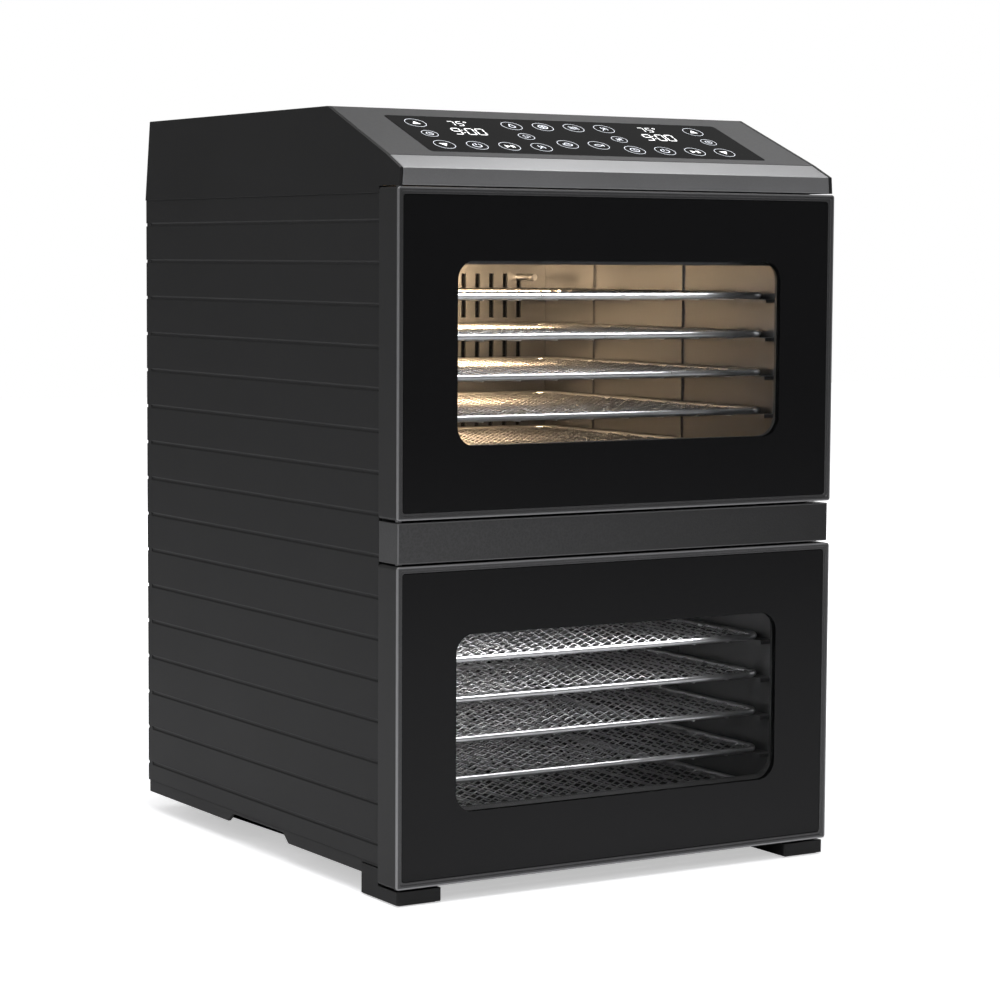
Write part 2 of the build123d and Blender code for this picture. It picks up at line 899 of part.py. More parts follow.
def rear_cover(floor):
    z = zone_middle(floor)
    half = cover_width / 2
    top = cover_height / 2
    back = rear_face + rear_cover_depth
    cover = rounded_y(half, z - top, z + top, cover_corner, rear_face, back)
    cover = fillet(cover.edges().group_by(Axis.Y)[-1], cover_edge)
    cover -= rounded_y(
        half - cover_wall,
        z - top + cover_wall,
        z + top - cover_wall,
        cover_corner - cover_wall,
        rear_face,
        back - cover_wall,
    )
    foot = rear_face + cover_wall
    for x, ear_z in ear_places(z):
        root = (half - ear_root) * (1 if x > 0 else -1)
        ear = rod_y(x, ear_z, ear_radius, rear_face, foot)
        ear += block(min(x, root), max(x, root), rear_face, foot, ear_z - ear_radius, ear_z + ear_radius)
        cover += ear - rod_y(x, ear_z, screw_radius + screw_clearance, rear_face, foot)
    vents = Plane.XZ * GridLocations(vent_pitch, vent_length + vent_row_gap, vents_per_row, 2)
    slot = Box(vent_width, vent_length, 4 * cover_wall)
    cover -= Pos(0, back, z) * vents * slot
    return cover


def rear_screws():
    screws = []
    grips = [(place, rear_face) for place in panel_screw_places()]
    grips += [(place, rear_face + cover_wall) for place in cover_screw_places()]
    for (x, z), seat in grips:
        screw = rod_y(x, z, screw_head, seat, seat + screw_head_height)
        screw += rod_y(x, z, screw_radius, inside_rear, seat)
        screws.append(screw)
    return screws


def cord_gland():
    x = half_body - gland_inset
    gland = rod_y(x, gland_height, gland_radius, inside_rear - gland_tail, rear_face)
    gland += rod_y(x, gland_height, gland_flange, rear_face, rear_face + gland_flange_height)
    bore = rod_y(x, gland_height, gland_bore, inside_rear - gland_tail, rear_face + gland_flange_height)
    return gland - bore


def fan_motor(floor):
    """Motor stack on four legs behind the rear panel."""
    z = zone_middle(floor)
    front = rear_face + motor_standoff
    motor = block(
        -motor_width / 2,
        motor_width / 2,
        front,
        front + motor_depth,
        z - motor_height / 2,
        z + motor_height / 2,
    )
    can_front = front - motor_can_front
    can_back = front + motor_depth + motor_can_back
    motor += rod_y(0, z, motor_can_radius, can_front, can_back)
    for side in (-1, 1):
        for end in (-1, 1):
            leg_x = side * (motor_width / 2 - motor_leg_inset)
            leg_z = z + end * (motor_height / 2 - motor_leg_inset)
            motor += rod_y(leg_x, leg_z, motor_leg_radius, rear_face, front)
    bore = shaft_radius + shaft_clearance
    return motor - rod_y(0, z, bore, can_front, can_back)


def fan_impeller(floor):
    """Radial fan wheel and its shaft, as two solids."""
    z = zone_middle(floor)
    front = guide_front + sheet + fan_front_gap
    back = front + fan_blade_width
    wheel = rod_y(0, z, hub_radius, front, back + hub_tail)
    wheel += rod_y(0, z, fan_radius, back, back + fan_sheet)
    reach = fan_radius - hub_radius + blade_root
    blade_middle = hub_radius - blade_root + reach / 2
    blade = Pos(blade_middle, front + fan_blade_width / 2, 0) * Box(reach, fan_blade_width, fan_sheet)
    for number in range(fan_blades):
        wheel += Pos(0, 0, z) * Rot(0, number * 360 / fan_blades, 0) * blade
    shaft_end = rear_face + motor_standoff + motor_depth + shaft_tail
    wheel -= rod_y(0, z, shaft_radius, front, back + hub_tail)
    shaft = rod_y(0, z, shaft_radius, front, shaft_end)
    return [wheel, shaft]


def heater(floor):
    """A ring of sheathed heating tube on two legs."""
    z = zone_middle(floor)
    y = guide_front + sheet + fan_front_gap + fan_blade_width / 2
    section = Plane.XY * Pos(heater_ring, 0) * Circle(heater_tube)
    ring = revolve(section, axis=Axis.Y, revolution_arc=heater_arc)
    ends = [Vector(heater_ring, 0, 0), Vector(heater_ring, 0, 0).rotate(Axis.Y, heater_arc)]
    for end in ends:
        ring += rod_y(end.X, end.Z, heater_tube, 0, inside_rear - y)
        ring += Pos(end.X, 0, end.Z) * Sphere(heater_tube)
    return Pos(0, y, z) * ring


# ---- writing the nodes ----
save("base_tray", base_tray())
save("front_feet", *front_feet())
save("rear_feet", *rear_feet())
save("foot_pads", *foot_pads())
save("side_panel_right", side_panel())
save("side_panel_left", mirrored(side_panel()))
save("centre_band", centre_band())
save("chamber_ceiling_lower", chamber_ceiling(lower_floor, band_middle - fit_gap))
save("chamber_ceiling_upper", chamber_ceiling(upper_floor, trim_bottom - fit_gap))
save("chamber_floor_upper", chamber_floor(upper_floor, band_middle + fit_gap))
save("top_cover", top_cover())
save("front_trim", front_trim())
save("control_fascia", control_fascia())
save("control_glass", control_glass())
save("control_board", control_board())
save("display_modules", *display_modules())
save("touch_springs", *touch_springs())
save("relay_board", relay_board())
save("rear_panel", rear_panel())
save("rear_screws", *rear_screws())
save("cord_gland", cord_gland())
save("hinge_pins", *hinge_pins())
save("catch_plates", *catch_plates())
save("temperature_sensors", *[temperature_sensor(zone["floor"]) for zone in ZONES.values()])

for zone_name, zone in ZONES.items():
    zone_floor = zone["floor"]
    zone_door = zone["door"]
    liner = rail_liner(zone_floor)
    save(f"rail_liner_{zone_name}_right", liner)
    save(f"rail_liner_{zone_name}_left", mirrored(liner))
    save(f"air_guide_{zone_name}", air_guide(zone_floor))
    save(f"heater_{zone_name}", heater(zone_floor))
    save(f"fan_motor_{zone_name}", fan_motor(zone_floor))
    save(f"fan_impeller_{zone_name}", *fan_impeller(zone_floor))
    save(f"rear_cover_{zone_name}", rear_cover(zone_floor))
    save(f"door_frame_{zone_name}", door_frame(zone_door))
    save(f"door_glass_{zone_name}", door_glass(zone_door))
    save(f"door_back_{zone_name}", door_back(zone_door))
    save(f"door_magnets_{zone_name}", *door_magnets(zone_door))
    save(f"door_seal_{zone_name}", door_seal(zone_floor))
    for shelf in range(trays_per_chamber):
        save(f"tray_{zone_name}_{shelf + 1}", tray(zone_floor, shelf))
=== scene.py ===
import json
import math

import bmesh
import bpy
from mathutils import Matrix, Vector

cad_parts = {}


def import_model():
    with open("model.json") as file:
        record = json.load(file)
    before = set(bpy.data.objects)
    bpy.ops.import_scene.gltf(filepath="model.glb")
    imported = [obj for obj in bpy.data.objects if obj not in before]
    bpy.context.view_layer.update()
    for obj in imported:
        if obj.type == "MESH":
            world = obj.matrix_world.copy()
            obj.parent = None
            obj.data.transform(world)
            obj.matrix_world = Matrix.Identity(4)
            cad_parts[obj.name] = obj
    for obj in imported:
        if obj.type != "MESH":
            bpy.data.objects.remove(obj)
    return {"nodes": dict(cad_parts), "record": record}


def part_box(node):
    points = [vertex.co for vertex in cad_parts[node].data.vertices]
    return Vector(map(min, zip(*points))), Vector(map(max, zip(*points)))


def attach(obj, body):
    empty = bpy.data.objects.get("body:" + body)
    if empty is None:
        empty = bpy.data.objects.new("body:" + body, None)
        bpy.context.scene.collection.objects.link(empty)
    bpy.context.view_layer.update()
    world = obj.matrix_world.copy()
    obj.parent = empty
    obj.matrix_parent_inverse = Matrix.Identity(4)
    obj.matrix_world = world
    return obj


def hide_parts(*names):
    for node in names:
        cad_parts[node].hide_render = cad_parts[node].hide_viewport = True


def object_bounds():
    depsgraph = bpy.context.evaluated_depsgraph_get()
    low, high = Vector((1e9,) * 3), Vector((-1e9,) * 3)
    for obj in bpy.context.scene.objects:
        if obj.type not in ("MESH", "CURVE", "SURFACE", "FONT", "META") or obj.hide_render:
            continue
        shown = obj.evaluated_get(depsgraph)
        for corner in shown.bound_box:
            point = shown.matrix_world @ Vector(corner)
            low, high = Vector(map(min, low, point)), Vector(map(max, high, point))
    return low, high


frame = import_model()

# The looks of a two-chamber food dehydrator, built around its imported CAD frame.
# Metres throughout; the doors face -Y and z = 0 is the worktop.

CAD_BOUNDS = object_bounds()
RECORD = frame["record"]
CHAMBERS = ("upper", "lower")
TRAYS_PER_CHAMBER = 5
MM = 0.001

# ---- sizes that the looks need and the frame's boxes don't give ----
WINDOW_SIDE = 44.6 * MM       # door side to the clear window
WINDOW_END = 46.0 * MM        # door top or bottom to the clear window
WINDOW_CORNER = 13.0 * MM
ROD = 4.4 * MM                # tray rim rod, diameter
TRAY_CORNER = 14.0 * MM
CROSS_PITCH = 12.0 * MM       # between the crimped wires that run across
BEND_PITCH = 4.7 * MM         # between the crimps of a cross wire
WEAVE_PITCH = 9.4 * MM        # between the wires that run front to back
CRIMP = 1.05 * MM
WIRE = 1.15 * MM
LONG_WIRE = 0.75 * MM
STAY_PITCH = 28.0 * MM        # support wires under the mesh
STAY = 1.7 * MM
LONG_CRIMP = -0.3             # the long wires' bend, as a share of the cross wires'
RIM_SIDES = 12
CORNER_STEPS = 8
CROSS_SIDES = 5
LONG_SIDES = 4
STAY_SIDES = 6

# ---- touch panel: rings and signs in columns and rows about the glass's middle ----
MARK_HEIGHT = 0.05 * MM
FIRST_KEY = -116.0 * MM
KEY_PITCH = 24.8 * MM
KEY_ROW = 20.5 * MM
LARGE_KEY = 7.4 * MM
SMALL_KEY = 5.7 * MM
LOW_PAIR = -0.65              # row of the middle columns' lower keys
RING_LINE = 0.36 * MM
TOUCH_KEYS = (
    (0, 1, LARGE_KEY, "up"), (0, 0, SMALL_KEY, "clock"), (0, -1, LARGE_KEY, "down"),
    (1, -1, LARGE_KEY, "power"), (2, -1, LARGE_KEY, "run"),
    (3, 1, LARGE_KEY, "drop"), (3, 0, SMALL_KEY, "fan"), (3, -1, LARGE_KEY, "leaf"),
    (4, 1, LARGE_KEY, "slice"), (4, LOW_PAIR, LARGE_KEY, "bowl"),
    (5, 1, LARGE_KEY, "waves"), (5, LOW_PAIR, LARGE_KEY, "fish"),
    (6, 1, LARGE_KEY, "leaf"), (6, 0, SMALL_KEY, "swap"), (6, -1, LARGE_KEY, "clock"),
    (7, -1, LARGE_KEY, "power"), (8, -1, LARGE_KEY, "run"),
    (9, 1, LARGE_KEY, "up"), (9, 0, SMALL_KEY, "clock"), (9, -1, LARGE_KEY, "down"),
)
DISPLAYS = (-82.5 * MM, 70.0 * MM)
TEMPERATURE = ((-8.0 * MM, "7"), (-1.5 * MM, "5"))
TEMPERATURE_BASE = 17.5 * MM
TEMPERATURE_TALL = 8.0 * MM
TEMPERATURE_LINE = 0.75 * MM
DEGREE_OFFSET = 6.2 * MM
DEGREE_RISE = 7.1 * MM
DEGREE_RADIUS = 1.0 * MM
TIME = ((-13.0 * MM, "9"), (-2.6 * MM, "0"), (5.4 * MM, "0"))
TIME_BASE = 0.5 * MM
TIME_TALL = 11.5 * MM
TIME_LINE = 1.0 * MM
COLON_OFFSET = 4.6 * MM
COLON_RISES = (4.0 * MM, 8.5 * MM)
COLON_RADIUS = 0.35 * MM
COLON_LINE = 0.6 * MM


# ======================= shader and node helpers =======================
class Field:
    """A node socket; arithmetic on it adds Math nodes to its tree."""

    def __init__(self, graph, socket):
        self.graph = graph
        self.socket = socket

    def math(self, operation, *others):
        inputs = dict(enumerate((self,) + others))
        return self.graph.node("ShaderNodeMath", {"operation": operation}, inputs)

    def __add__(self, other):
        return self.math("ADD", other)

    __radd__ = __add__

    def __mul__(self, other):
        return self.math("MULTIPLY", other)

    __rmul__ = __mul__

    def __sub__(self, other):
        return self.math("SUBTRACT", other)

    def __rsub__(self, other):
        return (self * -1.0) + other

    def __truediv__(self, other):
        return self.math("DIVIDE", other)

    def __abs__(self):
        return self.math("ABSOLUTE")

    def above(self, edge, soft):
        """0 below the edge, 1 above it, smooth over soft."""
        settings = {"interpolation_type": "SMOOTHSTEP"}
        inputs = {"Value": self, "From Min": edge - soft, "From Max": edge + soft}
        return self.graph.node("ShaderNodeMapRange", settings, inputs)

    def span(self, low, high):
        """0..1 stretched to low..high."""
        return self * (high - low) + low


class Graph:
    """A node tree and the one method that makes its nodes."""

    def __init__(self, tree):
        self.tree = tree

    def node(self, kind, settings=None, inputs=None, output=0):
        made = self.tree.nodes.new(kind)
        for name, value in (settings or {}).items():
            if name == "stops":
                self.ramp(made.color_ramp, value)
            else:
                setattr(made, name, value)
        for name, value in (inputs or {}).items():
            socket = made.inputs[name]
            if isinstance(value, Field):
                self.tree.links.new(value.socket, socket)
            else:
                socket.default_value = value
        return Field(self, made.outputs[output])

    @staticmethod
    def ramp(ramp, stops):
        while len(ramp.elements) < len(stops):
            ramp.elements.new(1.0)
        for element, (place, shade) in zip(ramp.elements, stops):
            element.position = place
            element.color = (*shade, 1.0)


class Finish(Graph):
    """A material: its Principled shader, its patterns and its output."""

    def __init__(self, name, colour, roughness, metallic=0.0, **constants):
        self.material = bpy.data.materials.new(name)
        self.material.use_nodes = True
        super().__init__(self.material.node_tree)
        self.tree.nodes.clear()
        self.shader = self.tree.nodes.new("ShaderNodeBsdfPrincipled")
        output = self.tree.nodes.new("ShaderNodeOutputMaterial")
        self.tree.links.new(self.shader.outputs[0], output.inputs[0])
        self.set("Base Color", (*colour, 1.0))
        self.set("Roughness", roughness)
        self.set("Metallic", metallic)
        for key, value in constants.items():
            self.set(key.replace("_", " "), value)
        self.place = self.node("ShaderNodeTexCoord", output="Object")

    def set(self, socket, value):
        if isinstance(value, Field):
            self.tree.links.new(value.socket, self.shader.inputs[socket])
        else:
            self.shader.inputs[socket].default_value = value

    def axis(self, name):
        """One coordinate, in metres."""
        return self.node("ShaderNodeSeparateXYZ", inputs={0: self.place}, output="XYZ".index(name))

    def from_outline(self, low, high):
        """How far inside a box's outline a point lies, seen from the front."""
        middle = (low + high) / 2
        from_side = (high.x - low.x) / 2 - abs(self.axis("X") - middle.x)
        from_end = (high.z - low.z) / 2 - abs(self.axis("Z") - middle.z)
        return from_side.math("MINIMUM", from_end)

    def stretched(self, scale):
        """The coordinates scaled differently along each axis."""
        return self.node("ShaderNodeMapping", inputs={"Vector": self.place, "Scale": scale})

    def noise(self, scale, detail=3.0, rough=0.55, place=None):
        inputs = {"Vector": place or self.place, "Scale": scale, "Detail": detail, "Roughness": rough}
        return self.node("ShaderNodeTexNoise", inputs=inputs)

    def cells(self, scale):
        inputs = {"Vector": self.place, "Scale": scale}
        return self.node("ShaderNodeTexVoronoi", {"feature": "F1"}, inputs)

    def tone(self, factor, dark, light):
        """A colour between two, by a factor."""
        return self.node("ShaderNodeValToRGB", {"stops": [(0.0, dark), (1.0, light)]}, {0: factor})

    def mix(self, factor, first, second):
        inputs = {0: factor}
        for socket, value in ((6, first), (7, second)):
            inputs[socket] = value if isinstance(value, Field) else (*value, 1.0)
        return self.node("ShaderNodeMix", {"data_type": "RGBA"}, inputs, output=2)

    def bump(self, height, strength, depth):
        inputs = {"Height": height, "Strength": strength, "Distance": depth}
        self.set("Normal", self.node("ShaderNodeBump", inputs=inputs))


def grey(value):
    """A very slightly cool grey."""
    return (value, value, value * 1.02)


# ======================= finishes =======================
def textured_plastic(name, tone, roughness, grain=1500.0):
    """Moulded black plastic with a fine spark-eroded texture."""
    finish = Finish(name, grey(tone), roughness)
    broad = finish.noise(9.0, 2.0)
    fine = finish.noise(grain, 2.0)
    finish.set("Base Color", finish.tone(broad * 0.6 + fine * 0.4, grey(tone * 0.75), grey(tone * 1.35)))
    finish.set("Roughness", (broad * 0.5 + fine * 0.5).span(roughness - 0.1, roughness + 0.12))
    finish.set("Specular IOR Level", 0.3)
    finish.bump(fine, 0.35, 0.12 * MM)
    return finish.material


def satin_paint(name, tone, roughness, metallic):
    """Metallic satin paint: tiny flakes under a slightly uneven skin."""
    finish = Finish(name, grey(tone), roughness, metallic, Coat_Weight=0.15, Coat_Roughness=0.3)
    flakes = finish.cells(2600.0)
    skin = finish.noise(420.0, 3.0)
    broad = finish.noise(14.0, 2.0)
    finish.set("Base Color", finish.tone(flakes * 0.5 + broad * 0.5, grey(tone * 0.78), grey(tone * 1.25)))
    finish.set("Roughness", (skin * 0.6 + flakes * 0.4).span(roughness - 0.07, roughness + 0.1))
    finish.bump(skin, 0.12, 0.1 * MM)
    return finish.material


def grained_band():
    """The band between the doors: fine leathery grain, with a painted highlight along its front edges and
    painted shade that darkens it from left to right.
    """
    low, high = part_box("centre_band")
    finish = Finish("grained_band", grey(0.03), 0.42)
    front = 1.0 - (finish.axis("Y") - low.y).above(0.8 * MM, 0.3 * MM)
    # Painted highlight: the outer 0.7 mm of the front face is painted light grey.
    band_edge_highlight = (1.0 - finish.from_outline(low, high).above(0.7 * MM, 0.3 * MM)) * front
    # Painted shade: the band's colour is darkened from its left end to its right end.
    along = ((finish.axis("X") - low.x) / (high.x - low.x)).math("MINIMUM", 1.0)
    cells = finish.cells(620.0)
    fine = finish.noise(1300.0, 3.0)
    relief = cells * 0.7 + fine * 0.3
    grain_and_shade = finish.mix(along, finish.tone(relief, grey(0.026), grey(0.062)), grey(0.012))
    finish.set("Base Color", finish.mix(band_edge_highlight, grain_and_shade, grey(0.14)))
    finish.set("Roughness", relief.span(0.32, 0.55))
    finish.bump(relief, 0.5, 0.16 * MM)
    return finish.material


def door_frame_finish(zone):
    """Satin grey metallic rim at the front with a painted highlight along its outer edge, black grain on
    the sides.
    """
    low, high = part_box(f"door_frame_{zone}")
    finish = Finish(f"door_rim_{zone}", grey(0.1), 0.34, 0.7)
    painted = 1.0 - (finish.axis("Y") - low.y).above(1.4 * MM, 0.15 * MM)
    # Painted highlight: the outer 1.1 mm of the front rim is painted light grey.
    rim_edge_highlight = 1.0 - finish.from_outline(low, high).above(1.1 * MM, 0.35 * MM)
    fine = finish.noise(1500.0, 2.0)
    flakes = finish.cells(2600.0)
    black = finish.tone(fine, grey(0.007), grey(0.014))
    satin = finish.tone(flakes, grey(0.055), grey(0.115))
    rim_with_highlight = finish.mix(rim_edge_highlight, satin, grey(0.3))
    finish.set("Base Color", finish.mix(painted, black, rim_with_highlight))
    finish.set("Metallic", painted * 0.75)
    finish.set("Roughness", fine.span(0.42, 0.62) - painted * 0.16)
    finish.bump(fine * (1.0 - painted * 0.8), 0.3, 0.12 * MM)
    return finish.material


def door_glass_finish(zone):
    """Tempered glass: black print round a clear window with round corners."""
    low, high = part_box(f"door_frame_{zone}")
    middle = (low + high) / 2
    finish = Finish(f"printed_glass_{zone}", grey(0.006), 0.05, IOR=1.5, Specular_IOR_Level=0.2)
    half_x = (high.x - low.x) / 2 - WINDOW_SIDE - WINDOW_CORNER
    half_z = (high.z - low.z) / 2 - WINDOW_END - WINDOW_CORNER
    across = (abs(finish.axis("X") - middle.x) - half_x).math("MAXIMUM", 0.0)
    up = (abs(finish.axis("Z") - middle.z) - half_z).math("MAXIMUM", 0.0)
    distance = (across * across + up * up).math("SQRT")
    printed = distance.above(WINDOW_CORNER, 0.12 * MM)
    smears = finish.noise(26.0, 4.0)
    finish.set("Roughness", smears.span(0.035, 0.085) + printed * 0.06)
    finish.set("Alpha", printed * 0.93 + 0.07)
    finish.set("Base Color", finish.tone(printed, (0.02, 0.022, 0.022), (0.0055, 0.0055, 0.006)))
    return finish.material


def panel_glass_finish():
    """Black touch glass with faint smears."""
    finish = Finish("touch_glass", grey(0.004), 0.12, IOR=1.45, Specular_IOR_Level=0.18)
    smears = finish.noise(30.0, 3.0)
    finish.set("Roughness", smears.span(0.05, 0.11))
    finish.set("Base Color", finish.tone(smears, grey(0.0025), grey(0.006)))
    return finish.material


def rolled_steel(name, tone, roughness, direction, metallic=0.9):
    """Stainless sheet with a long fine grain along one direction."""
    finish = Finish(name, grey(tone), roughness, metallic)
    scale = tuple(30.0 if axis == direction else 1600.0 for axis in "XYZ")
    grain = finish.noise(1.0, 4.0, 0.6, finish.stretched(scale))
    broad = finish.noise(22.0, 3.0)
    finish.set("Base Color", finish.tone(grain * 0.6 + broad * 0.4, grey(tone * 0.72), grey(tone * 1.25)))
    finish.set("Roughness", (grain * 0.5 + broad * 0.5).span(roughness - 0.08, roughness + 0.14))
    finish.bump(grain, 0.12, 0.05 * MM)
    return finish.material


def drawn_wire(name, tone, roughness):
    """Bright drawn stainless wire with slight tarnish."""
    finish = Finish(name, grey(tone), roughness, 1.0)
    tarnish = finish.noise(70.0, 4.0, 0.6)
    scratches = finish.noise(900.0, 2.0)
    finish.set("Base Color", finish.tone(tarnish, grey(tone * 0.68), grey(tone * 1.15)))
    finish.set("Roughness", (tarnish * 0.6 + scratches * 0.4).span(roughness - 0.08, roughness + 0.14))
    finish.bump(scratches, 0.06, 0.04 * MM)
    return finish.material


def soft_rubber():
    finish = Finish("black_rubber", grey(0.012), 0.75)
    dust = finish.noise(240.0, 4.0)
    finish.set("Base Color", finish.tone(dust, grey(0.008), grey(0.022)))
    finish.set("Roughness", dust.span(0.65, 0.88))
    finish.bump(finish.noise(1700.0, 2.0), 0.3, 0.1 * MM)
    return finish.material


def circuit_board():
    """Green solder mask with lighter copper tracks under it."""
    finish = Finish("circuit_board", (0.01, 0.09, 0.035), 0.35)
    cells = finish.node(
        "ShaderNodeTexVoronoi", {"distance": "MANHATTAN"}, {"Vector": finish.place, "Scale": 170.0}
    )
    tracks = cells.above(0.42, 0.02)
    finish.set("Base Color", finish.mix(tracks, (0.008, 0.075, 0.03), (0.02, 0.15, 0.06)))
    finish.set("Roughness", tracks.span(0.3, 0.45))
    finish.bump(tracks, 0.2, 0.05 * MM)
    return finish.material


def laminated_iron():
    """Stacked motor laminations, seen as thin lines across the stack."""
    finish = Finish("laminated_iron", grey(0.14), 0.5, 0.8)
    layers = finish.node(
        "ShaderNodeTexWave", {"bands_direction": "Y"}, {"Vector": finish.place, "Scale": 320.0}
    )
    rust = finish.noise(120.0, 4.0)
    finish.set("Base Color", finish.mix(rust * 0.5, grey(0.15), (0.12, 0.085, 0.065)))
    finish.set("Roughness", rust.span(0.4, 0.65))
    finish.bump(layers, 0.3, 0.1 * MM)
    return finish.material


def heater_sheath():
    finish = Finish("heater_sheath", (0.16, 0.145, 0.13), 0.5, 0.85)
    heat = finish.noise(60.0, 4.0)
    finish.set("Base Color", finish.tone(heat, (0.09, 0.075, 0.07), (0.25, 0.21, 0.17)))
    finish.set("Roughness", heat.span(0.4, 0.65))
    return finish.material


def glow(name, colour, strength):
    """A lit mark behind the touch glass."""
    finish = Finish(name, colour, 0.4, Emission_Strength=strength)
    flicker = finish.noise(160.0, 1.0)
    bright = finish.tone(flicker, tuple(c * 0.86 for c in colour), colour)
    finish.set("Emission Color", bright)
    return finish.material


FINISHES = {
    "body_black": textured_plastic("body_black", 0.011, 0.5),
    "foot_black": textured_plastic("foot_black", 0.009, 0.55),
    "door_inner": textured_plastic("door_inner", 0.016, 0.5),
    "rear_steel": textured_plastic("rear_steel", 0.013, 0.42, grain=700.0),
    "head_graphite": satin_paint("head_graphite", 0.07, 0.46, 0.5),
    "trim_silver": satin_paint("trim_silver", 0.36, 0.34, 0.9),
    "band_black": grained_band(),
    "panel_glass": panel_glass_finish(),
    "chamber_steel": rolled_steel("chamber_steel", 0.17, 0.36, "Y"),
    "tray_steel": drawn_wire("tray_steel", 0.8, 0.28),
    "bright_steel": drawn_wire("bright_steel", 0.5, 0.3),
    "fan_aluminium": rolled_steel("fan_aluminium", 0.6, 0.4, "X", 1.0),
    "heater_sheath": heater_sheath(),
    "motor_iron": laminated_iron(),
    "board_green": circuit_board(),
    "display_black": textured_plastic("display_black", 0.01, 0.3),
    "magnet_dark": drawn_wire("magnet_dark", 0.3, 0.3),
    "rubber_black": soft_rubber(),
}


SLOTS = {part["node"]: part["material_slot"] for part in RECORD["subparts"]}
BODIES = {node: body for body, nodes in RECORD["behaviour"]["bodies"].items() for node in nodes}


def paint_cad_nodes():
    """Every CAD node takes the finish of its record slot."""
    for zone in CHAMBERS:
        FINISHES[f"door_grey_{zone}"] = door_frame_finish(zone)
        FINISHES[f"door_glass_{zone}"] = door_glass_finish(zone)
    for name, node in frame["nodes"].items():
        zone = name.rsplit("_", 1)[-1]
        finish = FINISHES.get(SLOTS[name]) or FINISHES[f"{SLOTS[name]}_{zone}"]
        node.data.materials.clear()
        node.data.materials.append(finish)


# ======================= pieces =======================
def piece(name, mesh, body, replaced=()):
    """A finished mesh as an object that rides on a body."""
    thing = bpy.data.objects.new(name, mesh)
    bpy.context.scene.collection.objects.link(thing)
    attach(thing, body)
    if replaced:
        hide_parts(*replaced)


# How far the hard edges of each kind of moulding are rounded off, in millimetres.
EASED = {
    "top_cover": 0.9, "control_fascia": 0.5, "front_trim": 0.6, "control_glass": 0.25,
    "door_frame": 0.35, "door_glass": 0.3, "centre_band": 0.7, "front_feet": 0.9, "base_tray": 0.7,
    "side_panel": 0.3, "rear_cover": 0.6, "rear_panel": 0.4, "cord_gland": 0.7, "rear_feet": 1.0,
    "rear_screws": 0.35, "foot_pads": 0.2,
}
SAME_POINT = 0.002 * MM
FLAT_ANGLE = math.radians(0.6)        # faces that meet flatter than this become one
HARD_ANGLE = math.radians(28)         # edges sharper than this are rounded off
EASE_STEPS = 2
FACE_WEIGHT = 100                     # how strongly large faces keep their own shading


def eased_copy(node, width):
    """The node's shape with every hard edge rounded off by width."""
    shape = bmesh.new()
    shape.from_mesh(frame["nodes"][node].data)
    bmesh.ops.remove_doubles(shape, verts=shape.verts, dist=SAME_POINT)
    bmesh.ops.dissolve_limit(shape, angle_limit=FLAT_ANGLE, verts=shape.verts, edges=shape.edges)
    for face in shape.faces:
        face.smooth = True
    source = bpy.data.meshes.new(node)
    shape.to_mesh(source)
    shape.free()
    holder = bpy.data.objects.new(node, source)
    bpy.context.scene.collection.objects.link(holder)
    ease = holder.modifiers.new("ease", "BEVEL")
    ease.width = width
    ease.segments = EASE_STEPS
    ease.limit_method = "ANGLE"
    ease.angle_limit = HARD_ANGLE
    flatten = holder.modifiers.new("flatten", "WEIGHTED_NORMAL")
    flatten.weight = FACE_WEIGHT
    bpy.context.view_layer.update()
    mesh = bpy.data.meshes.new_from_object(holder.evaluated_get(bpy.context.evaluated_depsgraph_get()))
    bpy.data.objects.remove(holder)
    mesh.materials.clear()
    mesh.materials.append(frame["nodes"][node].data.materials[0])
    return mesh


def eased_pieces():
    for node in frame["nodes"]:
        kind = next((kind for kind in EASED if node.startswith(kind)), None)
        if kind:
            mesh = eased_copy(node, EASED[kind] * MM)
            piece(f"eased_{node}", mesh, BODIES[node], [node])


class Strokes:
    """Thin raised strokes drawn in a plane, collected into one mesh."""

    def __init__(self, matrix, height):
        self.matrix = matrix
        self.height = height
        self.points = []
        self.faces = []

    def prism(self, outline):
        """A closed flat slab over a counter-clockwise outline."""
        first = len(self.points)
        count = len(outline)
        for level in (0.0, self.height):
            self.points += [self.matrix @ Vector((x, y, level)) for x, y in outline]
        self.faces.append([first + i for i in reversed(range(count))])
        self.faces.append([first + count + i for i in range(count)])
        for i in range(count):
            j = (i + 1) % count
            self.faces.append([first + i, first + j, first + count + j, first + count + i])

    def line(self, start, end, width):
        a, b = Vector(start), Vector(end)
        along = (b - a).normalized()
        side = Vector((-along.y, along.x)) * width / 2
        self.prism([tuple(a - side), tuple(b - side), tuple(b + side), tuple(a + side)])

    def path(self, points, width):
        for start, end in zip(points, points[1:]):
            self.line(start, end, width)

    def arc(self, centre, radius, width, start=0.0, end=360.0, steps=28):
        """A ring or part of one, as quads that share no gaps."""
        inner, outer = radius - width / 2, radius + width / 2
        angles = [math.radians(start + (end - start) * i / steps) for i in range(steps + 1)]
        for a, b in zip(angles, angles[1:]):
            outline = []
            for reach, angle in ((inner, a), (outer, a), (outer, b), (inner, b)):
                outline.append((centre[0] + reach * math.cos(angle), centre[1] + reach * math.sin(angle)))
            self.prism(outline)

    def sign(self, strokes, centre, radius):
        """A sign's strokes about a centre, scaled by its ring's radius."""
        def at(point):
            return (centre[0] + point[0] * radius, centre[1] + point[1] * radius)

        for kind, *shape in strokes:
            if kind == "fill":
                self.prism([at(point) for point in shape[0]])
            elif kind == "path":
                points, width = shape
                self.path([at(point) for point in points], width * radius)
            else:
                middle, reach, width, start, end, steps = shape
                self.arc(at(middle), reach * radius, width * radius, start, end, steps)

    def mesh(self, name, finish):
        made = bpy.data.meshes.new(name)
        made.from_pydata([tuple(p) for p in self.points], [], self.faces)
        made.materials.append(finish)
        made.validate()
        return made


